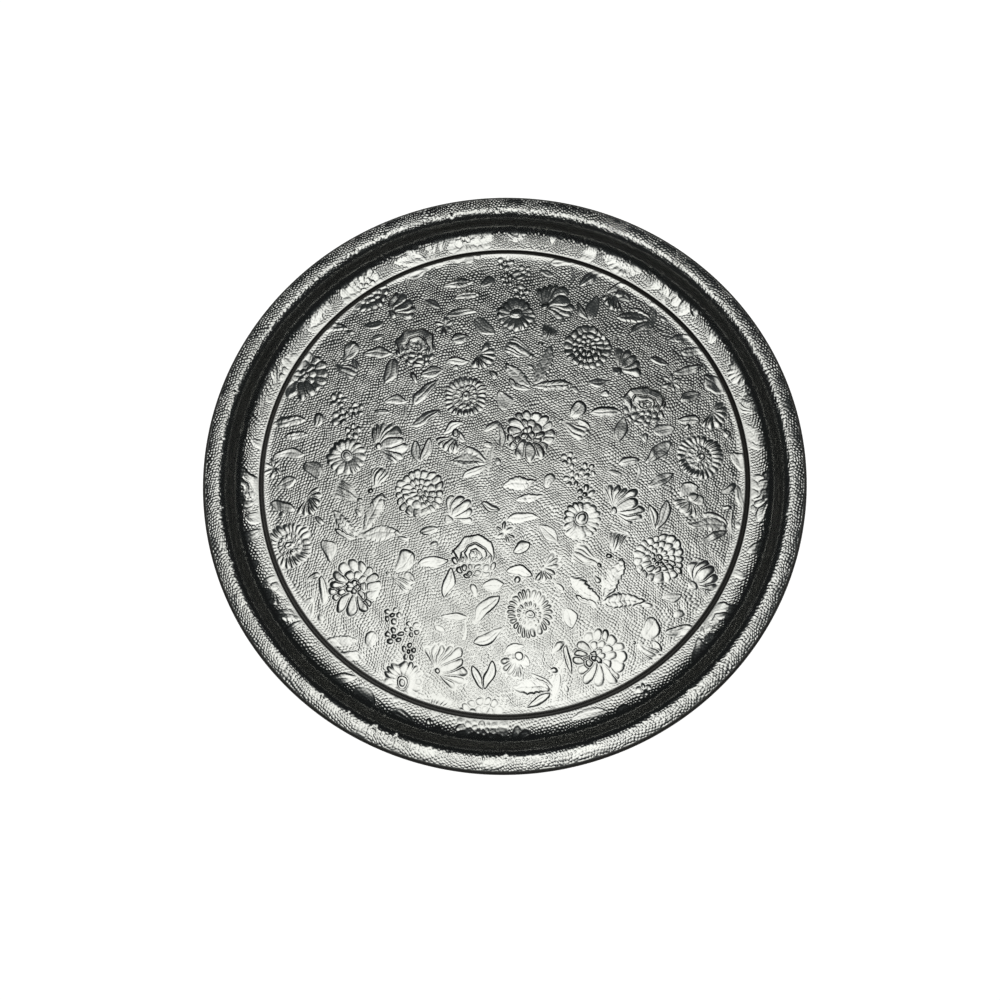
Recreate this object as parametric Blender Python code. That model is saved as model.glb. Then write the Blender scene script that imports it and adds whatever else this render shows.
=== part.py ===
"""A round tin tray: one sheet of tinplate pressed to a shallow dish, with its edge curled round a wire.

The sheet is turned from one path in the X-Z half plane, which follows the middle of the sheet from the
centre of the floor to the tip of the curl. Units are metres, +Z is up, and the tray stands on Z = 0.
The sizes below add up to a tray 350 mm across and 18.6 mm high.
"""

import math

import bmesh
import bpy
from mathutils import Matrix, Vector

# Sizes along the sheet, from the centre of the tray outwards. Bend radii are to the middle of the sheet
FLOOR_DIAMETER = 0.2800  # level serving floor
EDGE_BEND = 0.0105  # from the floor into its lifted edge
EDGE_RAMP = 0.0018  # straight part of the edge, up to the bead
BEAD_BEND = 0.0005  # the two tight bends at the top of the foot bead
BEAD_WALL = 0.0003  # straight side of the bead, between its bends
BEAD_FOOT_BEND = 0.0008  # the two bends at the bottom of the bead
BEAD_FLAT = 0.0004  # level strip along the bottom of the bead, which the tray stands on
COVE_RAMP = 0.00395  # straight border outside the bead
COVE_BEND = 0.0170  # from the border into the hollow foot of the wall
WALL_FOOT_BEND = 0.00935  # from there into the wall
WALL_LENGTH = 0.0028  # straight part of the wall
LIP_BEND = 0.0060  # from the wall into the lip
LIP_WIDTH = 0.0060  # crowned part of the lip, measured across
SHEET = 0.0005  # thickness of the tinplate
WIRE_DIAMETER = 0.0030  # stiffening wire inside the curl
WIRE_BUTT = 0.0015  # gap between the two ends of the wire
WIRE_CLEARANCE = 0.0003  # left all round between the wire and the curl

# Slopes of the path, where 0 runs outwards and level
EDGE_SLOPE = math.radians(11)  # of the edge of the floor, up to the bead
BEAD_SLOPE = math.radians(85)  # of the sides of the bead
RAMP_SLOPE = math.radians(9)  # of the border outside the bead
COVE_SLOPE = math.radians(30)  # where the cove turns into the foot of the wall
WALL_SLOPE = math.radians(78)
LIP_RISE_SLOPE = math.radians(7)  # at the inner end of the lip
LIP_FALL_SLOPE = math.radians(-1.5)  # at its outer end
CURL_TUCK = math.radians(180)  # how far the curl goes on round the wire, past its outermost point

# How finely the curves are divided
SEGMENTS = 80  # round the tray
EDGE_STEPS = 2
BEAD_STEPS = 2  # along each of the four bends of the bead
COVE_STEPS = 2
WALL_FOOT_STEPS = 3
LIP_BEND_STEPS = 4
LIP_STEPS = 2
CURL_STEPS = 3  # down to the outermost point of the curl
TUCK_STEPS = 6  # and on from there
WIRE_SIDES = 10
SAME_POINT = 1e-6  # points nearer than this are one point
SHARP_ANGLE = math.radians(50)  # edges that turn more than this stay crisp

CURL_RADIUS = WIRE_DIAMETER / 2 + WIRE_CLEARANCE + SHEET / 2  # to the middle of the sheet


class SheetPath:
    """A line drawn step by step through the middle of the sheet, with the slope at each point."""

    def __init__(self):
        self.radius = 0.0
        self.height = 0.0
        self.slope = 0.0
        self.points = [(0.0, 0.0, 0.0)]

    def straight(self, length):
        self.radius += length * math.cos(self.slope)
        self.height += length * math.sin(self.slope)
        self.points.append((self.radius, self.height, self.slope))

    def bend(self, radius, slope, steps):
        """An arc of this radius, upwards or downwards, until the path has the new slope."""
        side = math.copysign(radius, slope - self.slope)
        centre_r, centre_z = self.centre(side)
        start = self.slope
        for step in range(1, steps + 1):
            self.slope = start + (slope - start) * step / steps
            self.radius = centre_r + side * math.sin(self.slope)
            self.height = centre_z - side * math.cos(self.slope)
            self.points.append((self.radius, self.height, self.slope))

    def centre(self, side):
        """The point this far to the left of the end of the path, or to its right if side is negative."""
        return self.radius - side * math.sin(self.slope), self.height + side * math.cos(self.slope)

    def stand(self):
        """Lifts the path until the under face of its lowest point is at zero, and says how far."""
        lift = SHEET / 2 - min(height for radius, height, slope in self.points)
        self.points = [(radius, height + lift, slope) for radius, height, slope in self.points]
        return lift

    def face(self, offset):
        """The line that lies this far to the left of the path, which is its upper side."""
        return [Vector((radius - offset * math.sin(slope), 0, height + offset * math.cos(slope)))
                for radius, height, slope in self.points]


def sheet_path():
    """The path from the centre of the floor to the tip of the curl, and the middle of the wire."""
    path = SheetPath()
    path.straight(FLOOR_DIAMETER / 2)
    path.bend(EDGE_BEND, EDGE_SLOPE, EDGE_STEPS)
    path.straight(EDGE_RAMP)

    # The foot bead goes down, along and up again
    path.bend(BEAD_BEND, -BEAD_SLOPE, BEAD_STEPS)
    path.straight(BEAD_WALL)
    path.bend(BEAD_FOOT_BEND, 0, BEAD_STEPS)
    path.straight(BEAD_FLAT)
    path.bend(BEAD_FOOT_BEND, BEAD_SLOPE, BEAD_STEPS)
    path.straight(BEAD_WALL)
    path.bend(BEAD_BEND, RAMP_SLOPE, BEAD_STEPS)

    path.straight(COVE_RAMP)
    path.bend(COVE_BEND, COVE_SLOPE, COVE_STEPS)
    path.bend(WALL_FOOT_BEND, WALL_SLOPE, WALL_FOOT_STEPS)
    path.straight(WALL_LENGTH)
    path.bend(LIP_BEND, LIP_RISE_SLOPE, LIP_BEND_STEPS)
    crown_radius = LIP_WIDTH / (math.sin(LIP_RISE_SLOPE) - math.sin(LIP_FALL_SLOPE))
    path.bend(crown_radius, LIP_FALL_SLOPE, LIP_STEPS)

    wire_r, wire_z = path.centre(-CURL_RADIUS)
    path.bend(CURL_RADIUS, -math.pi / 2, CURL_STEPS)
    path.bend(CURL_RADIUS, -math.pi / 2 - CURL_TUCK, TUCK_STEPS)
    lift = path.stand()
    return path, Vector((wire_r, 0, wire_z + lift))


def turned(bm, section, merged):
    """Turns a section in the X-Z plane once round Z, and returns what it becomes at the end of the turn."""
    return bmesh.ops.spin(
        bm,
        geom=section,
        cent=(0, 0, 0),
        axis=(0, 0, 1),
        angle=2 * math.pi,
        steps=SEGMENTS,
        use_merge=merged,
    )["geom_last"]


def add_object(name, bm, material):
    bmesh.ops.recalc_face_normals(bm, faces=bm.faces)
    mesh = bpy.data.meshes.new(name)
    bm.to_mesh(mesh)
    bm.free()
    mesh.materials.append(material)
    mesh.shade_smooth()
    mesh.set_sharp_from_angle(angle=SHARP_ANGLE)
    made = bpy.data.objects.new(name, mesh)
    bpy.context.scene.collection.objects.link(made)
    return made


def metal(name, colour, roughness):
    material = bpy.data.materials.new(name)
    material.use_nodes = True
    shader = material.node_tree.nodes["Principled BSDF"]
    shader.inputs["Base Color"].default_value = (*colour, 1)
    shader.inputs["Metallic"].default_value = 1.0
    shader.inputs["Roughness"].default_value = roughness
    return material


def pressed_sheet(path):
    """The whole tray in one sheet: its upper face out to the tip of the curl, and its under face back."""
    bm = bmesh.new()
    points = [bm.verts.new(point) for point in path.face(SHEET / 2) + path.face(-SHEET / 2)[::-1]]
    edges = [bm.edges.new(pair) for pair in zip(points, points[1:])]
    turned(bm, points + edges, True)
    # The two points on the axis were turned too, and each becomes one again
    bmesh.ops.remove_doubles(bm, verts=bm.verts, dist=SAME_POINT)
    return add_object("pressed_sheet", bm, metal("Tinplate", (0.42, 0.43, 0.42), 0.32))


def rim_wire(centre):
    """The wire in the curl, one turn with its ends butted together."""
    bm = bmesh.new()
    arm = Vector((WIRE_DIAMETER / 2, 0, 0))
    turns = [Matrix.Rotation(2 * math.pi * side / WIRE_SIDES, 3, "Y") for side in range(WIRE_SIDES)]
    start = bm.faces.new([bm.verts.new(centre + turn @ arm) for turn in turns])
    end = [item for item in turned(bm, [start], False) if isinstance(item, bmesh.types.BMVert)]
    # Both ends draw back along the facets that they belong to
    half_step = math.pi / SEGMENTS
    along = Vector((-math.sin(half_step), math.cos(half_step), 0)) * WIRE_BUTT / 2
    bmesh.ops.translate(bm, verts=start.verts, vec=along)
    bmesh.ops.translate(bm, verts=end, vec=(along.x, -along.y, 0))
    return add_object("rim_wire", bm, metal("Steel wire", (0.50, 0.50, 0.50), 0.40))


for old in list(bpy.data.objects):
    bpy.data.objects.remove(old)
middle_path, wire_middle = sheet_path()
pressed_sheet(middle_path)
rim_wire(wire_middle)
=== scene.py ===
# %% [markdown]
# # A pressed tin tray
# This lesson dresses a round tin tray. The tray is one sheet of embossed tinplate: the flowers and the
# pebbled ground were rolled into it while it was flat, and a press then drew it into a dish and curled its
# edge round a wire. We take the line that the sheet follows first, then emboss the flat sheet, and then lay
# the sheet along the line. Lengths of the tray are in millimetres, and MM turns them into Blender's metres.

# %% Load the frame
import math

import bmesh
import bpy
import numpy as np
from mathutils import Matrix, Vector


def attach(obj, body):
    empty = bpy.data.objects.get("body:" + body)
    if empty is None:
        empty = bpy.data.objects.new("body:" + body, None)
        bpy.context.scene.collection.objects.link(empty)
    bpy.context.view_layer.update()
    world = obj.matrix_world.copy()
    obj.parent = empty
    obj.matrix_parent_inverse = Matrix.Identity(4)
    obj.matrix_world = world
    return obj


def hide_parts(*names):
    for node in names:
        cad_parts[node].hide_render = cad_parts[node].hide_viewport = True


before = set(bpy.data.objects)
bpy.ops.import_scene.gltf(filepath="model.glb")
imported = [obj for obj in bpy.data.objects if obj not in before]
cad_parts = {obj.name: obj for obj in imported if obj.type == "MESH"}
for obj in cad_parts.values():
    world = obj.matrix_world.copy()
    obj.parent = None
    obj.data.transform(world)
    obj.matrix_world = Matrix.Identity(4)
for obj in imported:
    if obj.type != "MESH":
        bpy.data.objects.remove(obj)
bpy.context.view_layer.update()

MM = 0.001

# %% [markdown]
# ## The line of the sheet
# Cut the tray through its middle and the sheet shows as one thin line: a level floor, a small bead that the
# tray stands on, a hollow cove, a steep wall, and a lip that ends in a curl. It could be drawn with a curve
# object, but a press makes only straight runs and round bends, so we draw it as those, like a turtle that
# walks and turns. Each point keeps its run, which is how far along the sheet it lies.

# %% Sizes of the pressed shape, with slopes in degrees
SHEET = 0.5
FLOOR_RADIUS = 140.0
EDGE_BEND, EDGE_RAMP, EDGE_SLOPE = 10.5, 1.8, 11.0
BEAD_BEND, BEAD_WALL, BEAD_FOOT_BEND, BEAD_FLAT, BEAD_SLOPE = 0.5, 0.3, 0.8, 0.4, 85.0
COVE_RAMP, COVE_BEND, RAMP_SLOPE, COVE_SLOPE = 3.95, 17.0, 9.0, 30.0
WALL_FOOT_BEND, WALL_LENGTH, WALL_SLOPE = 9.35, 2.8, 78.0
LIP_BEND, LIP_WIDTH, LIP_RISE_SLOPE, LIP_FALL_SLOPE = 6.0, 6.0, 7.0, -1.5
WIRE_DIAMETER, WIRE_CLEARANCE, CURL_TUCK = 3.0, 0.3, 180.0
CURL_RADIUS = WIRE_DIAMETER / 2 + WIRE_CLEARANCE + SHEET / 2
STEP = 0.05  # length of one short step of the line
print("sheet %.1f mm thick, curled to a radius of %.2f mm" % (SHEET, CURL_RADIUS))


# %% Draw the line
class SheetLine:
    """The middle of the sheet as rows of run, radius, height and slope, with named marks along the run."""

    def __init__(self):
        self.rows = [(0.0, 0.0, 0.0, 0.0)]
        self.marks = {}

    def go(self, length, turn=0.0):
        """Walks this far while the slope changes evenly by turn, in radians."""
        steps = max(1, round(length / STEP))
        for _ in range(steps):
            run, radius, height, slope = self.rows[-1]
            middle = slope + turn / steps / 2
            stride = length / steps
            self.rows.append((run + stride, radius + stride * math.cos(middle),
                              height + stride * math.sin(middle), slope + turn / steps))

    def bend(self, radius, slope):
        turn = math.radians(slope) - self.rows[-1][3]
        self.go(radius * abs(turn), turn)

    def mark(self, name):
        self.marks[name] = self.rows[-1][0]


line = SheetLine()
line.go(FLOOR_RADIUS)
line.mark("floor end")
line.bend(EDGE_BEND, EDGE_SLOPE)
line.go(EDGE_RAMP)
line.mark("shoulder")
line.bend(BEAD_BEND, -BEAD_SLOPE)
line.go(BEAD_WALL)
line.bend(BEAD_FOOT_BEND, 0)
line.go(BEAD_FLAT / 2)
line.mark("bead middle")
line.go(BEAD_FLAT / 2)
line.bend(BEAD_FOOT_BEND, BEAD_SLOPE)
line.go(BEAD_WALL)
line.bend(BEAD_BEND, RAMP_SLOPE)
line.mark("bead end")
line.go(COVE_RAMP)
line.bend(COVE_BEND, COVE_SLOPE)
line.mark("cove end")
line.bend(WALL_FOOT_BEND, WALL_SLOPE)
line.mark("wall start")
line.go(WALL_LENGTH)
line.mark("wall end")
line.bend(LIP_BEND, LIP_RISE_SLOPE)
line.mark("lip start")
lip_sines = math.sin(math.radians(LIP_RISE_SLOPE)) - math.sin(math.radians(LIP_FALL_SLOPE))
line.bend(LIP_WIDTH / lip_sines, LIP_FALL_SLOPE)
line.mark("lip end")
line.bend(CURL_RADIUS, -90)
line.mark("curl side")
line.bend(CURL_RADIUS, -90 - CURL_TUCK)
line.mark("curl tip")
mark = line.marks
line_run, line_radius, line_height, line_slope = np.array(line.rows).T
line_height += SHEET / 2 - line_height.min()
floor_top = line_height[0] + SHEET / 2
print("outer radius %.2f mm, height %.2f mm, floor top at %.2f mm, run %.1f mm" % (
    line_radius.max() + SHEET / 2, line_height.max() + SHEET / 2, floor_top, mark["curl tip"]))


# %% A point of the sheet in space
def sheet_points(run, turn, side, lift):
    """Points on the upper face (side 1) or under face (side -1), lifted along the sheet's own normal."""
    radius = np.interp(run, line_run, line_radius)
    height = np.interp(run, line_run, line_height)
    slope = np.interp(run, line_run, line_slope)
    offset = side * SHEET / 2 + lift
    across = radius - offset * np.sin(slope)
    up = height + offset * np.cos(slope)
    return np.stack([across * np.cos(turn), across * np.sin(turn), up], axis=-1) * MM


# %% [markdown]
# ## The embossing roller
# The flowers were rolled into the flat sheet, so we work out a height for each spot of the flat sheet first.
# A displacement texture could do this, but then the shape would live in the material. Instead the heights
# are kept in an array, one value for each quarter of a millimetre, and each flower is painted into it from
# formulas for petals, leaves and buds. A form that is painted later covers what lies under it and leaves a
# groove at its edge, as overlapping petals do.

# %% The flat sheet as an array of heights
SAMPLE = 0.25  # between two values
REACH = 205.0  # half the width of the array
RISE = 0.66  # height of a petal
SHOULDER = 1.3  # how far in from its edge a petal reaches that height
GROOVE = 0.35  # bare line round a petal that lies over others
axis = np.arange(-REACH, REACH + SAMPLE / 2, SAMPLE)
relief = np.zeros((len(axis), len(axis)))
ground = np.ones_like(relief)
print("%d by %d heights" % relief.shape)


class Stamp:
    """A window of the flat sheet with coordinates of its own, where x runs along the motif."""

    def __init__(self, x, y, turn, reach):
        columns = slice(*np.searchsorted(axis, (x - reach, x + reach)))
        rows = slice(*np.searchsorted(axis, (y - reach, y + reach)))
        right, away = np.meshgrid(axis[columns] - x, axis[rows] - y)
        self.x, self.y = rotated(right, away, turn)
        self.relief = relief[rows, columns]
        self.ground = ground[rows, columns]

    def paint(self, inside, swell=1.0, level=0.0):
        """Raises a form: inside is how far each spot lies within its outline, and swell its share of RISE."""
        edge = 1 - (1 - np.clip(inside / SHOULDER, 0, 1)) ** 2
        np.copyto(self.relief, level * (inside > 0) + RISE * swell * edge, where=inside > -GROOVE)
        np.minimum(self.ground, np.clip(-inside / GROOVE - 0.5, 0, 1), out=self.ground)

    def score(self, gap, inside, depth, width):
        """Cuts a line into a raised form, where gap is how far each spot lies from the line."""
        cut = depth * np.clip(1 - (gap / width) ** 2, 0, 1) * (inside > 0.2)
        np.subtract(self.relief, np.minimum(cut, self.relief), out=self.relief)


# %% Outlines of petals, leaves and dots
def rotated(x, y, degrees):
    cosine, sine = math.cos(math.radians(degrees)), math.sin(math.radians(degrees))
    return x * cosine + y * sine, y * cosine - x * sine


def petal(x, y, half_length, half_width):
    """An oval that is fuller and higher towards +x, like the bowl of a spoon."""
    fullness = np.clip(1 + 0.3 * x / half_length, 0.2, 2)
    inside = (1 - np.hypot(x / half_length, y / (half_width * fullness))) * min(half_length, half_width)
    return inside, 0.35 + 0.65 * np.clip(0.5 + 0.5 * x / half_length, 0, 1)


def petal_ring(x, y, count, inner, outer, half_width):
    """Petals set evenly round the middle, by folding the circle until one petal stands for all."""
    sector = 2 * math.pi / count
    angle = (np.arctan2(y, x) + sector / 2) % sector - sector / 2
    radius = np.hypot(x, y)
    along = radius * np.cos(angle) - (inner + outer) / 2
    return petal(along, radius * np.sin(angle), (outer - inner) / 2, half_width)


def disc(x, y, radius):
    return radius - np.hypot(x, y)


# %% Large flowers
def ring_rosette(stamp):
    for count, inner, outer, half_width, level in ((19, 9.2, 14.6, 2.1, 0.0), (14, 5.6, 9.9, 1.8, 0.05),
                                                   (9, 2.6, 6.0, 1.3, 0.08)):
        stamp.paint(*petal_ring(stamp.x, stamp.y, count, inner, outer, half_width), level)
    middle = disc(stamp.x, stamp.y, 2.1)
    stamp.paint(middle, level=0.08)
    stamp.score(np.hypot(stamp.x, stamp.y), middle, 0.4, 1.1)


def aster(stamp):
    stamp.paint(*petal_ring(stamp.x, stamp.y, 24, 7.6, 13.6, 1.35))
    stamp.paint(*petal_ring(stamp.x, stamp.y, 13, 4.0, 7.4, 0.9))
    middle = disc(stamp.x, stamp.y, 2.6)
    stamp.paint(middle)
    stamp.score(np.hypot(stamp.x, stamp.y), middle, 0.4, 1.3)


def chrysanthemum(stamp):
    stamp.paint(*petal_ring(stamp.x, stamp.y, 15, 7.6, 15.2, 2.6))
    stamp.paint(*petal_ring(stamp.x + 1, stamp.y, 10, 3.2, 9.6, 2.3), 0.05)
    stamp.paint(*petal_ring(stamp.x + 1, stamp.y, 5, 0.2, 4.6, 1.7), 0.1)
    for degrees, start, length, half_width in ((172, 6, 8, 2.4), (146, 5, 10, 2.6), (-118, 4.5, 13.5, 2.9),
                                               (-64, 5, 11.5, 2.6), (-91, 4.5, 13, 2.8)):
        x, y = rotated(stamp.x, stamp.y, degrees)
        stamp.paint(*petal(x - start - length / 2, y, length / 2, half_width), 0.06)


def daisy(stamp):
    stamp.paint(*petal_ring(stamp.x, stamp.y, 16, 3.0, 11.6, 2.0))
    middle = disc(stamp.x, stamp.y, 3.7)
    stamp.paint(middle, level=0.05)
    stamp.score(np.abs(np.hypot(stamp.x, stamp.y) - 2.4), middle, 0.3, 0.8)


def peony(stamp):
    for degrees, length, half_width in ((-42, 13, 2.2), (112, 12.5, 1.5), (-22, 15.5, 2.6), (96, 13.5, 1.6),
                                        (80, 14, 1.7), (-3, 16.5, 2.9), (62, 14.5, 2.1), (41, 17, 3.3),
                                        (17, 14, 3.2)):
        x, y = rotated(stamp.x, stamp.y, degrees)
        stamp.paint(*petal(x - length / 2 - 1, y, length / 2, half_width), 0.04)
    stamp.paint(disc(stamp.x, stamp.y, 2.0), level=0.06)


def crescent_rosette(stamp):
    stamp.paint(*petal_ring(stamp.x, stamp.y, 13, 9.0, 13.2, 2.2))
    for count, inner, outer, half_width, level in ((10, 5.6, 9.6, 1.9, 0.05), (6, 2.2, 5.6, 1.6, 0.09)):
        stamp.paint(*petal_ring(stamp.x, stamp.y + 1.5, count, inner, outer, half_width), level)
    # Two frilled petals bend over the top like a hood, one inside the other
    angle = np.arctan2(stamp.y, stamp.x)
    for middle, half, frill, shift in ((10.2, 3.2, 0.9, 0.5), (4.6, 2.0, 0.5, 1.5)):
        radius = np.hypot(stamp.x, stamp.y - shift) + frill * np.abs(np.sin(4.5 * angle))
        hood = half - np.abs(radius - middle) - 0.35 * np.maximum(0, middle * 0.45 - stamp.y)
        stamp.paint(hood, level=0.08)


# %% Fans, buds and other small motifs
def fan(stamp, count, spread, length, half_width):
    """Petals that open from one point, painted from the outer ones to the middle."""
    for degrees in sorted(np.linspace(-spread / 2, spread / 2, count), key=abs, reverse=True):
        x, y = rotated(stamp.x, stamp.y, degrees)
        stamp.paint(*petal(x - length / 2 - 0.6, y, length / 2, half_width), 0.03)


def bud(stamp, length, width):
    inside, swell = petal(stamp.x, stamp.y, length / 2, width / 2)
    stamp.paint(inside, swell)
    stamp.score(np.abs(stamp.y), inside, 0.1, 0.4)


def dot(stamp, radius):
    stamp.paint(disc(stamp.x, stamp.y, radius))


def tiny_flower(stamp):
    stamp.paint(*petal_ring(stamp.x, stamp.y, 5, 1.5, 5.2, 1.6))
    stamp.paint(disc(stamp.x, stamp.y, 1.4), level=0.05)


def sprig(stamp):
    stamp.paint(*petal_ring(stamp.x, stamp.y, 6, 0.8, 6.2, 1.1))


# %% Leaves
TOOTH = 3.2  # between the teeth of a toothed leaf, and between its side veins


def leaf(stamp, length, width, bow, lean, toothed):
    """A leaf pointed at both ends; it leans up to one side and sinks into the sheet on the other."""
    share = np.clip(1 - (2 * stamp.x / length) ** 2, 0, 1)
    along = stamp.x / TOOTH % 1
    half = width / 2 * share ** 0.75 * (1 - 0.24 * toothed * along)
    across = stamp.y - bow * share
    inside = half - np.abs(across) - np.maximum(np.abs(stamp.x) - length / 2, 0)
    stamp.paint(inside, np.clip(0.62 + 0.76 * lean * across / width, 0.12, 1))
    stamp.score(np.abs(across) + 9 * (stamp.x > 0.36 * length), inside, 0.12, 0.45)
    if toothed:
        slant = np.abs((stamp.x - 0.9 * np.abs(across)) % TOOTH - TOOTH / 2)
        stamp.score(slant, inside, 0.1, 0.5)


# %% [markdown]
# ## The repeat
# A roller prints the same flowers over and over, so the pattern repeats along two slanted directions. We
# list each motif once and stamp every copy that the sheet holds. A leaf is given by its base, its tip, its
# width, how far its midrib bows to the left, which side it leans up to (1 is left) and whether it is toothed.
# Any other motif is given by its place, its turn in degrees and its sizes.

# %% The leaves and stems of one repeat
REPEAT_A = (140.7, -40.2)
REPEAT_B = (38.0, -133.4)
LEAVES = (
    ((0, -12), (20, -9), 7.5, 1.0, 1, 1), ((7, -20), (23, -18.5), 6.5, 1.0, 1, 1),
    ((2, -33), (21, -30), 6, 1.0, 0.7, 0),
    ((20, -36), (32, -46), 9.5, 0.5, -0.5, 0), ((5, -51), (17, -46.5), 7.5, 0.5, 0.3, 0),
    ((2, -63.5), (17, -65), 6.5, 0.6, 0.7, 0), ((57, -64), (57.3, -80), 1.3, 0.5, 0, 0),
    ((54, -83.5), (41.5, -77), 5, 0.4, -0.5, 0), ((58, -79), (68, -55), 10, -1.2, -1, 1),
    ((56, -81.5), (81, -81), 8.5, 1.0, 0, 1), ((55.5, -81), (39.5, -66), 8.5, 0.8, -1, 1),
    ((35, -84), (40, -96.5), 9, 1.5, 0.4, 0), ((35, -104), (37.5, -122), 4, 0.6, 0, 0),
    ((33, -113), (25.5, -139), 1.4, -2.0, 0, 0), ((35, -113), (28, -140), 1.3, -1.5, 0, 0),
    ((91, -37), (86, -23), 5.5, 0.5, 0, 0), ((91.5, -37), (97, -20.5), 6.5, -0.6, 0, 0),
    ((104, -18), (116, -12), 5, 1.5, 1, 0), ((110, -17), (118, -24), 5.5, 0.6, 0.6, 0),
    ((131, -36), (118, -28.5), 5.5, 0.5, -1, 0), ((130, -39), (116.5, -47), 5, -0.5, 0, 0),
    ((130, -37), (108.5, -35.5), 8.5, -1.0, 1, 1), ((133.5, -24), (132, -41), 1.5, 1.0, 0, 0),
    ((91, -79), (103.5, -78), 5.5, -0.6, -1, 0), ((84, -102.5), (88.5, -112), 5, 0.8, 1, 0),
    ((-49, -59), (-31, -57.5), 6.5, 1.0, 0.6, 0), ((-30, -61), (-34, -78), 7.5, 0.8, 0.4, 0),
    ((-17, -92), (-1, -77), 7.5, 1.2, -0.5, 0), ((-17, -105.5), (-0.5, -97), 7, 0.4, -1, 0),
    ((-22, -91), (-22.5, -103), 1.7, 0.8, 0, 0), ((-20, -90.5), (-35, -89.5), 5.5, -0.5, 0, 0),
    ((-12, -72), (0.5, -70), 8, 0.5, 0.4, 0), ((-40, -95), (-32, -98), 3.6, 0.3, 0, 0),
    ((-12.5, -22), (-1.5, -27.5), 5, 0.3, -0.6, 0),
)

# %% The flowers and buds of one repeat
MOTIFS = (
    (ring_rosette, 90.8, -55.4, 0), (aster, 15.0, -87.3, 0), (chrysanthemum, 54.3, -111.8, 0),
    (daisy, 46.3, -32.4, 0), (crescent_rosette, -16.5, -54.6, 0), (peony, 65.4, -26.4, 0),
    (fan, 64.0, -51.5, 68, 5, 46, 10.5, 1.4), (dot, 61.6, -53.8, 0, 1.6),
    (fan, 56.5, -60.5, 150, 5, 34, 17, 1.9), (dot, 56.2, -60.2, 0, 1.4),
    (fan, 23.5, -59.8, -35, 7, 165, 9.0, 1.6), (bud, 31.6, -72.5, -50, 6.5, 4.2),
    (bud, 54.0, -67.5, -45, 5.5, 3.2), (bud, 8.2, -68.6, 30, 5.0, 3.0), (bud, 27.6, -9.2, 62, 10, 6.5),
    (sprig, 1.2, -39.8, 30), (tiny_flower, 39.7, 4.7, 0), (tiny_flower, 50.7, -2.8, 40),
    (tiny_flower, 40.7, -6.8, 20), (tiny_flower, 49.2, -16.3, 10), (bud, 31.0, -107.0, 38, 9.5, 4.0),
    (bud, 28.4, -119.2, 15, 5.5, 3.2), (bud, 35.2, -129.0, -60, 5.0, 3.2),
    (fan, 7.6, -113.8, -125, 5, 88, 9.0, 1.7), (dot, 9.2, -111.4, 0, 2.6),
    (fan, 110, -70, 38, 5, 104, 12.5, 2.7), (bud, 108.2, -71.6, -60, 6.5, 5.2),
    (bud, 82.0, -83.4, -20, 6, 3.0), (bud, 100.3, -87.5, 20, 5, 3.2), (bud, 83.4, -96.8, 48, 13.5, 10),
    (fan, 75.5, -105.6, -30, 3, 26, 12.5, 1.5), (dot, 73.8, -104.2, 0, 1.2),
    (bud, -17.3, -74.6, 105, 6.5, 4.4), (bud, -41.0, -47.0, 15, 7.5, 4.0),
)

# %% Stamp every copy
STAMP_REACH = 20.0  # half the width of the window for one motif
REPEATS = range(-4, 5)  # more than the sheet holds, both ways


def stamp_copies(shape, x, y, turn, *sizes):
    """Stamps a motif wherever the repeat puts it on the sheet, and says how often."""
    count = 0
    for a in REPEATS:
        for b in REPEATS:
            copy_x = x + a * REPEAT_A[0] + b * REPEAT_B[0]
            copy_y = y + a * REPEAT_A[1] + b * REPEAT_B[1]
            if math.hypot(copy_x, copy_y) < REACH - STAMP_REACH:
                shape(Stamp(copy_x, copy_y, turn, STAMP_REACH), *sizes)
                count += 1
    return count


stamped = 0
for base, tip, *sizes in LEAVES:
    reach_x, reach_y = tip[0] - base[0], tip[1] - base[1]
    stamped += stamp_copies(leaf, base[0] + reach_x / 2, base[1] + reach_y / 2,
                            math.degrees(math.atan2(reach_y, reach_x)), math.hypot(reach_x, reach_y), *sizes)
for shape, x, y, turn, *sizes in MOTIFS:
    stamped += stamp_copies(shape, x, y, turn, *sizes)
print(len(LEAVES), "leaves and", len(MOTIFS), "other motifs, stamped", stamped, "times")

# %% [markdown]
# ## The pebbled ground
# Between the flowers the sheet is covered with small round pebbles, a little under 2 mm apart. They could
# come from a Voronoi texture used as bump, but they are a real shape of the sheet, so they get heights too:
# each spot takes the dome of its nearest pebble, on a grid of rows that are shifted and slightly jittered.

# %% Pebbles
PEBBLE_PITCH = 1.78
PEBBLE_ROW = PEBBLE_PITCH * math.sqrt(3) / 2
PEBBLE_TURN = 17.0  # degrees that the rows are turned by
PEBBLE_JITTER = 0.24
PEBBLE_RISE = 0.17
PEBBLE_REACH = 0.82  # from the top of a pebble to the ground round it
PEBBLE_SEED = 7
SPARE_ROWS = 8

pebble_count = int(2 * math.sqrt(2) * REACH / PEBBLE_ROW) + SPARE_ROWS
jitter = np.random.default_rng(PEBBLE_SEED).uniform(
    -PEBBLE_JITTER, PEBBLE_JITTER, (2, pebble_count, pebble_count))
across, away = rotated(*np.meshgrid(axis, axis), PEBBLE_TURN)
nearest = np.full_like(relief, np.inf)
near_row = np.rint(away / PEBBLE_ROW).astype(int)
for row_step in (-1, 0, 1):
    row = near_row + row_step
    shift = 0.5 * (row % 2)
    near_column = np.rint(across / PEBBLE_PITCH - shift).astype(int)
    for column_step in (-1, 0, 1):
        column = near_column + column_step
        jitter_x, jitter_y = jitter[:, row + pebble_count // 2, column + pebble_count // 2]
        gap_x = (column + shift) * PEBBLE_PITCH + jitter_x - across
        gap_y = row * PEBBLE_ROW + jitter_y - away
        nearest = np.minimum(nearest, gap_x ** 2 + gap_y ** 2)
pebbles = PEBBLE_RISE * np.clip(1 - nearest / PEBBLE_REACH ** 2, 0, 1)
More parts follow.
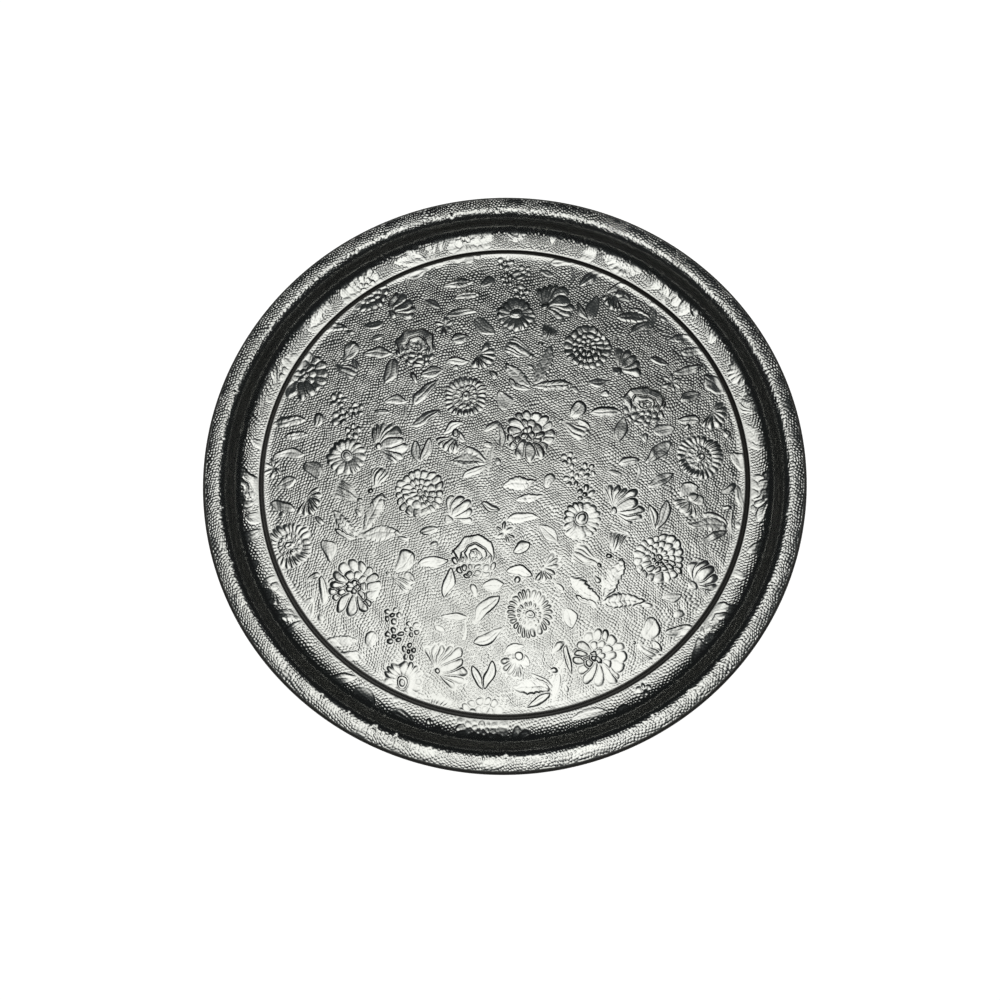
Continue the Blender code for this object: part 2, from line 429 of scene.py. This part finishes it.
print("pebbles about %.2f mm apart" % PEBBLE_PITCH)


# %% Soften the rolled sheet and read a height from it
TOP_ROUNDS, BACK_ROUNDS = 2, 8  # the back of the sheet shows the flowers more softly than its top


def softened(heights, times):
    """Rounds the heights off, as the sheet bridges sharp corners of the roller."""
    for _ in range(times):
        heights = (np.roll(heights, 1, 0) + 2 * heights + np.roll(heights, -1, 0)) / 4
        heights = (np.roll(heights, 1, 1) + 2 * heights + np.roll(heights, -1, 1)) / 4
    return heights


rolled_flowers = softened(relief, TOP_ROUNDS)
rolled_back = softened(relief, BACK_ROUNDS)
print("flowers up to %.2f mm high, pebbles up to %.2f mm" % (rolled_flowers.max(), pebbles.max()))


def rolled_height(heights, x, y):
    """The height at any spot of the flat sheet, between the four values round it."""
    column = (x + REACH) / SAMPLE
    row = (y + REACH) / SAMPLE
    left, low = column.astype(int), row.astype(int)
    right_share, high_share = column - left, row - low
    lower = heights[low, left] * (1 - right_share) + heights[low, left + 1] * right_share
    upper = heights[low + 1, left] * (1 - right_share) + heights[low + 1, left + 1] * right_share
    return lower * (1 - high_share) + upper * high_share


# %% [markdown]
# ## What the press did to the pattern
# The press stretches the sheet where it draws the wall, so the pattern is partly ironed out there. On the
# lip the sheet had to shrink, so it has fine radial puckers and small creases. The floor is left slightly
# wavy, which is why its shine breaks up into patches, and on the far side it dips and then stands up beside
# the bead. The roller was not perfect either: its lines stray a little, it was worn in places, and it bit
# deeper on one side. Each list below pairs a place along the run with a value there, and the values in
# between are blended.

# %% How much of the pattern is left, and where it came from on the flat sheet
FLOWERS_LEFT = (
    (mark["floor end"] - 2, 1.0), (mark["floor end"] + 1.5, 0.7), (mark["shoulder"] - 0.8, 0.5),
    (mark["shoulder"], 0.0), (mark["bead end"], 0.0), (mark["bead end"] + 3.0, 0.6),
    (mark["cove end"] - 2, 0.6), (mark["cove end"] + 3, 0.35), (mark["wall start"], 0.3),
    (mark["wall end"], 0.3), (mark["lip start"] - 3, 0.25), (mark["lip start"], 0.2),
    (mark["lip end"] - 0.5, 0.2), (mark["curl side"] - 1.2, 0.0),
)
PEBBLES_LEFT = (
    (mark["floor end"] - 2, 1.0), (mark["floor end"] + 1.5, 0.6), (mark["shoulder"] - 0.8, 0.4),
    (mark["shoulder"], 0.0), (mark["bead end"], 0.0), (mark["bead end"] + 1.0, 0.8),
    (mark["cove end"] - 4, 1.3), (mark["cove end"], 1.4), (mark["wall start"] - 3, 0.6),
    (mark["wall end"], 0.5), (mark["lip start"] - 3, 0.7), (mark["lip start"], 1.2), (mark["lip end"], 1.3),
    (mark["curl side"] - 0.8, 0.3), (mark["curl side"], 0.0),
)
DEEPER_FAR = 0.25  # the roller bit deeper into the far side of the sheet than into the near side
PEBBLES_THROUGH = ((mark["wall end"], 0.15), (mark["lip start"], 0.6))  # also where flowers cover the ground
FLAT_STRETCH = (
    (0, 0), (mark["shoulder"], mark["shoulder"]), (mark["bead end"], mark["shoulder"] + 3),
    (mark["cove end"], mark["shoulder"] + 13), (mark["wall end"], mark["shoulder"] + 18),
    (mark["curl tip"], mark["shoulder"] + 41),
)
lip_shares = np.linspace(0, 1, 10)
LIP_SINK = (
    (mark["wall end"], 0.0), (mark["lip start"] - 3, 0.25),
    *((mark["lip start"] + share * LIP_WIDTH, 0.3 + 0.45 * share ** 2) for share in lip_shares),
    (mark["curl side"] - 2.3, 0.74), (mark["curl side"] - 1.2, 0.45), (mark["curl side"] - 0.4, 0.1),
    (mark["curl side"], 0.02),
)
PUCKER_SHARE = (
    (mark["cove end"] - 4, 0), (mark["cove end"], 1), (mark["wall start"], 0.5), (mark["wall end"], 0.3),
    (mark["lip start"] - 2, 0.9), (mark["lip start"] + 1, 0.4), (mark["lip end"], 0.3),
    (mark["curl side"] - 1.2, 0),
)
WAVE_SHARE = ((mark["floor end"], 1), (mark["shoulder"] - 0.5, 0))
UNDER_SHARE = 0.8  # how much of the flowers shows on the under face
print("the lip sinks by up to %.2f mm" % max(sink for place, sink in LIP_SINK))

# %% How large the marks of the press and the roller are
PUCKER_RISE, PUCKER_WAVES, PUCKER_SEED = 0.03, 14, 11
PUCKER_COUNTS = (240, 620)  # fewest and most round the tray
CREASE_DEPTH, CREASE_COUNT, CREASE_SEED = 0.05, 110, 23
DIP_DEPTH, DIP_PLACE, DIP_REACH = 0.5, 131.0, 40.0  # its depth, its radius, and how far it reaches inwards
SWELL_RISE, SWELL_TURN, SWELL_HALF = 0.65, 91.0, 22.0  # turns in degrees
RIPPLE_WAVES = 12  # added up for each kind of ripple
WAVE_RISE, WAVE_LENGTHS, WAVE_SEED = 0.10, (45, 120), 5
DAPPLE_RISE, DAPPLE_LENGTHS, DAPPLE_SEED = 0.04, (5, 15), 6
DRIFT, DRIFT_LENGTHS, DRIFT_SEEDS = 0.55, (9, 28), (8, 9)  # how far the engraved lines stray from true
WEAR, WEAR_LENGTHS, WEAR_SEED = 0.35, (12, 45), 10  # how unevenly the flowers came out of the roller
WEAR_LEAST = 0.5  # of a flower is left where the roller was most worn
print(CREASE_COUNT, "creases, and puckers of about %.2f mm" % PUCKER_RISE)


def along_run(pairs, run):
    runs, values = zip(*pairs)
    return np.interp(run, runs, values)


# %% Puckers, creases and waves
def puckers(turn):
    """Fine waves round the tray, of mixed counts."""
    source = np.random.default_rng(PUCKER_SEED)
    total = np.zeros_like(turn)
    for count in source.integers(*PUCKER_COUNTS, PUCKER_WAVES):
        total += np.cos(count * turn + source.uniform(0, 2 * math.pi))
    return total / math.sqrt(PUCKER_WAVES / 2)


def creases(run, turn):
    """Short sharp folds across the lip, each between a least and a most of its five measures."""
    source = np.random.default_rng(CREASE_SEED)
    radius = np.interp(mark["lip start"], line_run, line_radius)
    least = (0, mark["lip start"] - 2, 2, 0.5, 0.3)
    most = (2 * math.pi, mark["lip end"], 4, 1.1, 1)
    total = np.zeros_like(turn)
    for _ in range(CREASE_COUNT):
        place, middle, length, width, depth = source.uniform(least, most)
        gap = (turn - place + math.pi) % (2 * math.pi) - math.pi
        total -= depth * np.exp(-(gap * radius / width) ** 2 - ((run - middle) / length) ** 2)
    return total


def edge_swell(run, turn):
    """On the far side the floor dips a little, and then stands up beside the bead."""
    inward = np.clip((DIP_PLACE - run) / DIP_REACH, 0, 1)
    outward = np.clip((run - DIP_PLACE) / (mark["shoulder"] - DIP_PLACE), 0, 1)
    dip = DIP_DEPTH * (inward ** 2 * (3 - 2 * inward) - 1)
    rise = (DIP_DEPTH + SWELL_RISE) * outward ** 1.3
    fade = np.interp(run, (mark["shoulder"], mark["bead middle"]), (1, 0))
    gap = (turn - math.radians(SWELL_TURN) + math.pi) % (2 * math.pi) - math.pi
    return (dip + rise) * fade * np.exp(-(gap / math.radians(SWELL_HALF)) ** 2)


def ripples(x, y, seed, lengths):
    """Smooth random hills and hollows: waves of mixed lengths and headings, added up."""
    source = np.random.default_rng(seed)
    total = np.zeros_like(x)
    for _ in range(RIPPLE_WAVES):
        length, heading, start = source.uniform((lengths[0], 0, 0), (lengths[1], math.pi, 2 * math.pi))
        total += np.sin((x * math.cos(heading) + y * math.sin(heading)) * 2 * math.pi / length + start)
    return total / math.sqrt(RIPPLE_WAVES / 2)


def sheet_lift(run, turn, side):
    """How far each spot of the sheet stands off its line."""
    flat = along_run(FLAT_STRETCH, run)
    true_x, true_y = flat * np.cos(turn), flat * np.sin(turn)
    x = true_x + DRIFT * ripples(true_x, true_y, DRIFT_SEEDS[0], DRIFT_LENGTHS)
    y = true_y + DRIFT * ripples(true_x, true_y, DRIFT_SEEDS[1], DRIFT_LENGTHS)
    flowers = np.where(side > 0, rolled_height(rolled_flowers, x, y),
                       UNDER_SHARE * rolled_height(rolled_back, x, y))
    flowers *= np.clip(1 - WEAR + WEAR * ripples(x, y, WEAR_SEED, WEAR_LENGTHS), WEAR_LEAST, 1)
    bare = np.maximum(rolled_height(ground, x, y), along_run(PEBBLES_THROUGH, run))
    lift = flowers * along_run(FLOWERS_LEFT, run) - along_run(LIP_SINK, run)
    bite = along_run(PEBBLES_LEFT, run) * (1 + DEEPER_FAR * true_y / FLOOR_RADIUS)
    lift += np.where(side > 0, bare * rolled_height(pebbles, x, y) * bite, 0)
    lift += PUCKER_RISE * along_run(PUCKER_SHARE, run) * puckers(turn)
    lift += edge_swell(run, turn)
    lift += along_run(WAVE_SHARE, run) * (WAVE_RISE * ripples(x, y, WAVE_SEED, WAVE_LENGTHS)
                                          + DAPPLE_RISE * ripples(x, y, DAPPLE_SEED, DAPPLE_LENGTHS))
    if run.max() > mark["lip start"]:
        lift += CREASE_DEPTH * np.clip(5 * along_run(LIP_SINK, run), 0, 1) * creases(run, turn)
    return lift


# %% [markdown]
# ## Tinplate
# The tray is tinplate: thin steel with a bright coat of tin. It is a metal, so its colour is the colour of
# its reflections, a neutral silver. Use leaves it slightly dull, with faint cloudy stains and a fine grain.
# The stains change the colour and the roughness together, because tarnish does both. Shade is painted into
# the groove, lighter at the near left, with a trace on the wall, and round the outside of the curl, where it
# makes the tin dark and dull. How dark each spot is gets worked out along the sheet and kept in the mesh, as
# an attribute of painted shade. A painted picture could hold it, but would need a file.

# %% Colour and node helpers
def srgb(code):
    """A colour from its hex code, as the linear values that shaders use."""
    shares = [int(code[place:place + 2], 16) / 255 for place in (1, 3, 5)]
    return (*[share / 12.92 if share <= 0.04045 else ((share + 0.055) / 1.055) ** 2.4 for share in shares], 1)


def add_node(tree, kind, settings=None, inputs=None, links=None):
    """A node with its settings, its fixed inputs, and the outputs of other nodes that are linked to it."""
    node = tree.nodes.new(kind)
    for name, value in (settings or {}).items():
        setattr(node, name, value)
    for name, value in (inputs or {}).items():
        node.inputs[name].default_value = value
    for name, output in (links or {}).items():
        tree.links.new(output, node.inputs[name])
    return node


# %% Painted shade in the groove, on the wall and round the curl
# Painted shade along the run: dark in the groove of the bead, a trace on the wall, and round the outside of
# the curl
PAINTED_SHADE = (
    (mark["shoulder"] - 0.5, 0.0), (mark["shoulder"] - 0.1, 0.95), (mark["bead end"] - 0.3, 0.95),
    (mark["bead end"], 0.0), (mark["cove end"] + 1, 0.0), (mark["wall start"] - 2, 0.06),
    (mark["wall end"] + 2, 0.06), (mark["lip start"] - 3, 0.0), (mark["lip end"], 0.0),
    (mark["lip end"] + 1.2, 0.9), (mark["curl tip"], 0.9),
)
LIGHTER_SHADE, LIGHTER_SHADE_TURN = 0.14, 235.0  # how much lighter the painted shade is in part of the groove, and where, in degrees


def painted_shade_on(run, turn):
    # How much painted shade each spot gets, a little less at the near left of the groove
    lighter_shade = LIGHTER_SHADE * (0.5 + 0.5 * np.cos(turn - math.radians(LIGHTER_SHADE_TURN))) * (run < mark["cove end"])
    return along_run(PAINTED_SHADE, run) * (1 - lighter_shade)


# %% Tinplate
STAIN_SIZE, STAIN_DULL, STAIN_BRIGHT = 60.0, "#CDCDC8", "#D8D8D4"
POLISH_LEAST, POLISH_MOST = 0.19, 0.12  # roughness of dull and of bright tin
# Painted shade: this dark colour, and more roughness, where the painted shade lies
PAINTED_SHADE_COLOUR, PAINTED_SHADE_ROUGHER = "#2E2B27", 0.3
GRAIN_SIZE, GRAIN_DEPTH = 0.8, 0.02


def tinplate():
    """Rolled tin: mirror-like but slightly blurred, and dark and dull where shade is painted on."""
    material = bpy.data.materials.new("Tinplate")
    material.use_nodes = True
    tree = material.node_tree
    shader = tree.nodes["Principled BSDF"]
    place = add_node(tree, "ShaderNodeTexCoord")
    stain = add_node(tree, "ShaderNodeTexNoise", inputs={"Scale": 1 / (STAIN_SIZE * MM), "Detail": 5.0},
                     links={"Vector": place.outputs["Object"]})
    bright = add_node(tree, "ShaderNodeValToRGB", links={"Fac": stain.outputs["Fac"]})
    bright.color_ramp.elements[0].position = 0.30
    bright.color_ramp.elements[0].color = srgb(STAIN_DULL)
    bright.color_ramp.elements[1].position = 0.70
    bright.color_ramp.elements[1].color = srgb(STAIN_BRIGHT)
    # How much painted shade each point has, read from the mesh
    painted_shade = add_node(tree, "ShaderNodeAttribute", {"attribute_name": "painted_shade"})
    colour = add_node(tree, "ShaderNodeMix", {"data_type": "RGBA"}, inputs={7: srgb(PAINTED_SHADE_COLOUR)},
                      links={0: painted_shade.outputs["Fac"], 6: bright.outputs["Color"]})
    polish = add_node(tree, "ShaderNodeMapRange", inputs={"To Min": POLISH_LEAST, "To Max": POLISH_MOST},
                      links={"Value": stain.outputs["Fac"]})
    roughness = add_node(tree, "ShaderNodeMath", {"operation": "MULTIPLY_ADD"}, inputs={1: PAINTED_SHADE_ROUGHER},
                         links={0: painted_shade.outputs["Fac"], 2: polish.outputs["Result"]})
    grain = add_node(tree, "ShaderNodeTexNoise", inputs={"Scale": 1 / (GRAIN_SIZE * MM), "Detail": 3.0},
                     links={"Vector": place.outputs["Object"]})
    bump = add_node(tree, "ShaderNodeBump", inputs={"Strength": 0.15, "Distance": GRAIN_DEPTH * MM},
                    links={"Height": grain.outputs["Fac"]})
    # Where shade is painted, the metal and its shine are taken away
    bare = add_node(tree, "ShaderNodeMath", {"operation": "SUBTRACT"}, inputs={0: 1.0},
                    links={1: painted_shade.outputs["Fac"]})
    shine = add_node(tree, "ShaderNodeMath", {"operation": "MULTIPLY"}, inputs={1: 0.5},
                     links={0: bare.outputs[0]})
    tree.links.new(bare.outputs[0], shader.inputs["Metallic"])
    tree.links.new(shine.outputs[0], shader.inputs["Specular IOR Level"])
    tree.links.new(colour.outputs[2], shader.inputs["Base Color"])
    tree.links.new(roughness.outputs[0], shader.inputs["Roughness"])
    tree.links.new(bump.outputs["Normal"], shader.inputs["Normal"])
    return material


tin = tinplate()
print("made", tin.name)


# %% [markdown]
# ## The floor
# The floor carries the finest detail, more than one piece should hold, so it is made as eight pieces that
# meet edge to edge: four quarters of its middle and four of the border round it. Each starts as a flat grid.
# A quarter of the middle is folded from a square, so that its faces stay even in size all the way to the
# centre; a spun disc would crowd them there. The outermost rows go down into the bead, so the joint with the
# cove lies at the bottom of its groove. A pebble is only about five faces wide, and normals averaged from
# such faces would blur it, so each point gets a normal that is measured on the heights themselves.

# %% Make a piece of the sheet from a mesh
SAME_POINT = 1e-7  # metres
NUDGE = 0.1  # between two spots that a slope is measured from
TINY = 1e-15  # keeps a division from being by nothing
CRISP_ANGLE = 70.0  # degrees; edges that turn more than this stay crisp


def shaped(run, turn, side):
    return sheet_points(run, turn, side, sheet_lift(run, turn, side))


def finish_sheet(name, bm, run, turn, side):
    """Lays the points of a mesh along the sheet and adds it to the scene as a piece of the tray."""
    points = shaped(run, turn, side)
    outward = shaped(run + NUDGE, turn, side) - points
    around = shaped(run, turn + NUDGE / np.maximum(run, 1), side) - points
    normals = np.cross(outward, around) * side[:, None]
    normals /= np.maximum(np.linalg.norm(normals, axis=1, keepdims=True), TINY)
    # Each point also keeps its painted shade
    painted_shade_layer = bm.verts.layers.float.new("painted_shade")
    normal_layer = bm.verts.layers.float_vector.new("sheet normal")
    for vert, point, normal, painted_shade in zip(bm.verts, points, normals, painted_shade_on(run, turn)):
        vert.co = point
        vert[normal_layer] = normal
        vert[painted_shade_layer] = painted_shade
    bmesh.ops.remove_doubles(bm, verts=bm.verts, dist=SAME_POINT)
    bmesh.ops.recalc_face_normals(bm, faces=bm.faces)
    mesh = bpy.data.meshes.new(name)
    bm.to_mesh(mesh)
    bm.free()
    mesh.materials.append(tin)
    mesh.shade_smooth()
    mesh.set_sharp_from_angle(angle=math.radians(CRISP_ANGLE))
    normals = np.empty((len(mesh.vertices), 3), dtype=np.float32)
    mesh.attributes["sheet normal"].data.foreach_get("vector", normals.ravel())
    mesh.normals_split_custom_set_from_vertices(normals)
    mesh.attributes.remove(mesh.attributes["sheet normal"])
    piece = bpy.data.objects.new(name, mesh)
    bpy.context.scene.collection.objects.link(piece)
    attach(piece, "root")
    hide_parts("pressed_sheet")
    print(name, sum(len(face.vertices) - 2 for face in mesh.polygons), "triangles")
    return piece


# %% A slab of cells
FINER = 3  # cells along the upper face for each cell of the under face


def thick_grid(columns, rows):
    """A flat slab of cells, and where each of its points lies: across, out, and on which side."""
    bm = bmesh.new()
    bmesh.ops.create_grid(bm, x_segments=columns, y_segments=rows, size=0.5)
    raised = bmesh.ops.extrude_face_region(bm, geom=bm.faces[:])["geom"]
    raised_points = [item for item in raised if isinstance(item, bmesh.types.BMVert)]
    bmesh.ops.translate(bm, verts=raised_points, vec=(0, 0, 1))
    upper = [edge for edge in bm.edges if all(vert.co.z > 0.5 for vert in edge.verts)]
    bmesh.ops.subdivide_edges(bm, edges=upper, cuts=FINER - 1, use_grid_fill=True)
    across, out, level = (np.array([vert.co for vert in bm.verts]) + (0.5, 0.5, 0)).T
    return bm, across, out, np.where(level > 0.5, 1, -1)


# %% The middle of the floor and its border, each in four quarters
MIDDLE_RADIUS = 96.0
MIDDLE_CELLS = 90  # along each side of the square that a quarter of the middle is folded from
BORDER_CELLS = 46  # from there out to the bead
BEAD_CELLS = 3  # and down into it


def floor_middle(number):
    bm, a, b, side = thick_grid(MIDDLE_CELLS, MIDDLE_CELLS)
    ring = np.maximum(a, b)
    share = np.minimum(a, b) / np.maximum(ring, TINY)
    turn = np.where(a > b, share, 2 - share) * math.pi / 4 + number * math.pi / 2
    return finish_sheet("tray_floor_middle_%d" % (number + 1), bm, ring * MIDDLE_RADIUS, turn, side)


def floor_border(number):
    rows = BORDER_CELLS + BEAD_CELLS
    bm, across, out, side = thick_grid(2 * MIDDLE_CELLS, rows)
    run = np.interp(out, (0, BORDER_CELLS / rows, 1), (MIDDLE_RADIUS, mark["shoulder"], mark["bead middle"]))
    return finish_sheet("tray_floor_border_%d" % (number + 1), bm, run, (number + across) * math.pi / 2, side)


for quarter in range(4):
    floor_middle(quarter)
    floor_border(quarter)

# %% [markdown]
# ## The cove, the wall and the lip
# Outside the bead the tray is turned. A thin closed outline of the sheet could be spun round the middle, but
# with more than a thousand steps that is slow, so a flat grid is rolled up instead: its columns go once round
# the tray and its rows once round the outline, and both seams are welded. The rows lie close where the
# pattern is still crisp, and further apart on the wall, where it is partly ironed out.

# %% Roll up a stretch of the sheet
def turned_stretch(name, steps, upper_rows, under_rows):
    """A ring of the sheet, with rows for each stretch of its two faces: (mark, mark, count)."""
    outline = []
    for side, stretches in ((1, upper_rows), (-1, under_rows)):
        runs = [mark[stretches[0][0]]]
        for start, end, count in stretches:
            runs.extend(np.linspace(mark[start], mark[end], count + 1)[1:])
        outline.extend((run, side) for run in runs[::side])
    outline = np.array(outline)
    bm = bmesh.new()
    bmesh.ops.create_grid(bm, x_segments=steps, y_segments=len(outline), size=0.5)
    a, b, _ = (np.array([vert.co for vert in bm.verts]) + 0.5).T
    turn = np.rint(a * steps) % steps * 2 * math.pi / steps
    run, side = outline[np.rint(b * len(outline)).astype(int) % len(outline)].T
    return finish_sheet(name, bm, run, turn, side)


# %% Bead, cove, wall, lip and curl
turned_stretch("tray_bead", 1500, (("bead middle", "bead end", 9),), (("bead middle", "bead end", 5),))
turned_stretch("tray_cove", 2600, (("bead end", "cove end", 27),), (("bead end", "cove end", 4),))
turned_stretch("tray_wall", 1600, (("cove end", "wall start", 13), ("wall start", "wall end", 3)),
               (("cove end", "wall start", 5), ("wall start", "wall end", 1)))
turned_stretch("tray_shoulder", 1800, (("wall end", "lip start", 16),), (("wall end", "lip start", 5),))
turned_stretch("tray_lip", 2800, (("lip start", "lip end", 17),), (("lip start", "lip end", 3),))
turned_stretch("tray_curl", 1200, (("lip end", "curl side", 8), ("curl side", "curl tip", 9)),
               (("lip end", "curl side", 4), ("curl side", "curl tip", 7)))

# %% [markdown]
# ## The wire
# A steel wire runs inside the curl and stiffens the rim. It could be modelled again, but the solid model
# already has it and the curl hides it, so it keeps its shape and only gets the look of drawn wire: dull grey
# with fine marks.

# %% Drawn steel wire
WIRE_MARK_SIZE = 1.2


def drawn_wire():
    """Steel pulled through a die, which leaves it grey and half dull."""
    material = bpy.data.materials.new("Drawn steel wire")
    material.use_nodes = True
    tree = material.node_tree
    shader = tree.nodes["Principled BSDF"]
    place = add_node(tree, "ShaderNodeTexCoord")
    marks = add_node(tree, "ShaderNodeTexNoise", inputs={"Scale": 1 / (WIRE_MARK_SIZE * MM), "Detail": 4.0},
                     links={"Vector": place.outputs["Object"]})
    colour = add_node(tree, "ShaderNodeValToRGB", links={"Fac": marks.outputs["Fac"]})
    colour.color_ramp.elements[0].color = srgb("#8E8E8B")
    colour.color_ramp.elements[1].color = srgb("#B4B4B0")
    shader.inputs["Metallic"].default_value = 1.0
    shader.inputs["Roughness"].default_value = 0.4
    tree.links.new(colour.outputs["Color"], shader.inputs["Base Color"])
    return material


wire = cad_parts["rim_wire"]
wire.data.materials.clear()
wire.data.materials.append(drawn_wire())
print("dressed", wire.name)

# %% [markdown]
# ## Floor, light and camera
# Metal shows whatever is round it, so the light matters as much as the sheet. Even light from all sides would
# be simpler, but it leaves metal no dark reflections. One soft round lamp, brightest in its middle, hangs
# over the tray in a dim room instead: the near half of the floor mirrors it and shines, and the far half and
# the wall mirror the dim room and stay dark. The pale floor is lit a little by the lamp, so that it keeps the
# tray's shadow, and it is white to the camera and in reflections. Sizes and places here are in metres.

# %% Pale floor
STAGE_SIZE = 6.0
STAGE_GAP = 0.00005  # just under the bead
STAGE_GLOW = 0.9  # with the light that falls on it, about white


def stage_floor():
    bm = bmesh.new()
    bmesh.ops.create_grid(bm, x_segments=1, y_segments=1, size=STAGE_SIZE / 2)
    bmesh.ops.translate(bm, verts=bm.verts, vec=(0, 0, -STAGE_GAP))
    mesh = bpy.data.meshes.new("stage_floor")
    bm.to_mesh(mesh)
    bm.free()
    material = bpy.data.materials.new("White paper")
    material.use_nodes = True
    tree = material.node_tree
    shader = tree.nodes["Principled BSDF"]
    shader.inputs["Base Color"].default_value = srgb("#E8E8E8")
    shader.inputs["Roughness"].default_value = 1.0
    shader.inputs["Specular IOR Level"].default_value = 0.0
    shader.inputs["Emission Color"].default_value = (1, 1, 1, 1)
    ray = add_node(tree, "ShaderNodeLightPath")
    seen = add_node(tree, "ShaderNodeMath", {"operation": "MAXIMUM"},
                    links={0: ray.outputs["Is Camera Ray"], 1: ray.outputs["Is Glossy Ray"]})
    shown = add_node(tree, "ShaderNodeMath", {"operation": "MAXIMUM"},
                     links={0: seen.outputs[0], 1: ray.outputs["Is Transmission Ray"]})
    glow = add_node(tree, "ShaderNodeMath", {"operation": "MULTIPLY"}, inputs={1: STAGE_GLOW},
                    links={0: shown.outputs[0]})
    tree.links.new(glow.outputs[0], shader.inputs["Emission Strength"])
    mesh.materials.append(material)
    floor = bpy.data.objects.new("stage_floor", mesh)
    bpy.context.scene.collection.objects.link(floor)
    return floor


print("made", stage_floor().name)

# %% Lamp
LAMP_PLACE = (-0.045, 0, 1.5)
LAMP_RADIUS = 0.92
LAMP_CORE = 0.2  # from here to the rim the lamp fades out
LAMP_POWER = 12.3
LAMP_TINT = (0.995, 1.0, 0.985)


def soft_lamp():
    """A round lamp behind a large sheet of tracing paper: bright in the middle, and fading out to its rim."""
    data = bpy.data.lights.new("soft_lamp", "AREA")
    data.shape = "DISK"
    data.size = 2 * LAMP_RADIUS
    data.energy = LAMP_POWER
    data.color = LAMP_TINT
    data.use_nodes = True
    tree = data.node_tree
    spot = add_node(tree, "ShaderNodeNewGeometry")
    gap = add_node(tree, "ShaderNodeVectorMath", {"operation": "DISTANCE"}, inputs={1: LAMP_PLACE},
                   links={0: spot.outputs["Position"]})
    fade = add_node(tree, "ShaderNodeMapRange", {"interpolation_type": "SMOOTHSTEP"},
                    inputs={"From Min": LAMP_CORE, "From Max": LAMP_RADIUS, "To Min": 1.0, "To Max": 0.0},
                    links={"Value": gap.outputs["Value"]})
    tree.links.new(fade.outputs["Result"], tree.nodes["Emission"].inputs["Strength"])
    lamp = bpy.data.objects.new("soft_lamp", data)
    lamp.location = LAMP_PLACE
    bpy.context.scene.collection.objects.link(lamp)
    return lamp


print("made", soft_lamp().name)

# %% Dim room
CEILING_LEVEL, WALL_LEVEL = 0.05, 0.012
CEILING_ANGLE, WALL_ANGLE = 28.0, 55.0  # from straight up; in between the ceiling fades into the walls
ROOM_TINT = (0.88, 1.0, 1.05, 1)


def dim_room():
    """A world that is white to the camera. To the tray it is dim, and brightest straight above."""
    world = bpy.data.worlds.new("Dim room")
    world.use_nodes = True
    tree = world.node_tree
    place = add_node(tree, "ShaderNodeTexCoord")
    heading = add_node(tree, "ShaderNodeSeparateXYZ", links={"Vector": place.outputs["Generated"]})
    level = add_node(tree, "ShaderNodeMapRange", {"interpolation_type": "SMOOTHSTEP"},
                     inputs={"From Min": math.cos(math.radians(WALL_ANGLE)),
                             "From Max": math.cos(math.radians(CEILING_ANGLE)),
                             "To Min": WALL_LEVEL, "To Max": CEILING_LEVEL},
                     links={"Value": heading.outputs["Z"]})
    ray = add_node(tree, "ShaderNodeLightPath")
    shown = add_node(tree, "ShaderNodeMath", {"operation": "MAXIMUM"},
                     links={0: level.outputs["Result"], 1: ray.outputs["Is Camera Ray"]})
    tint = add_node(tree, "ShaderNodeMix", {"data_type": "RGBA"}, inputs={6: ROOM_TINT, 7: (1, 1, 1, 1)},
                    links={0: ray.outputs["Is Camera Ray"]})
    sky = tree.nodes["Background"]
    tree.links.new(tint.outputs[2], sky.inputs["Color"])
    tree.links.new(shown.outputs[0], sky.inputs["Strength"])
    return world


bpy.context.scene.world = dim_room()
bpy.context.scene.view_settings.view_transform = "Standard"
print("ceiling at %.3f, walls at %.3f" % (CEILING_LEVEL, WALL_LEVEL))

# %% Camera
CAMERA_PLACE = Vector((0.00924, -0.15643, 0.49237 + floor_top * MM))
CAMERA_RIGHT = Vector((0.99975, 0.0, -0.02245))
CAMERA_UP = Vector((0.00598, 0.96381, 0.26651))
CAMERA_LENS = 31.06

camera_data = bpy.data.cameras.new("camera")
camera_data.sensor_width = 36.0
camera_data.lens = CAMERA_LENS
camera_data.clip_start = 0.01
camera = bpy.data.objects.new("camera", camera_data)
axes = Matrix((CAMERA_RIGHT, CAMERA_UP, CAMERA_RIGHT.cross(CAMERA_UP))).transposed()
camera.matrix_world = Matrix.Translation(CAMERA_PLACE) @ axes.to_4x4()
bpy.context.scene.collection.objects.link(camera)
bpy.context.scene.camera = camera
print("camera with a %.1f mm lens, %.0f mm above the table" % (CAMERA_LENS, CAMERA_PLACE.z / MM))
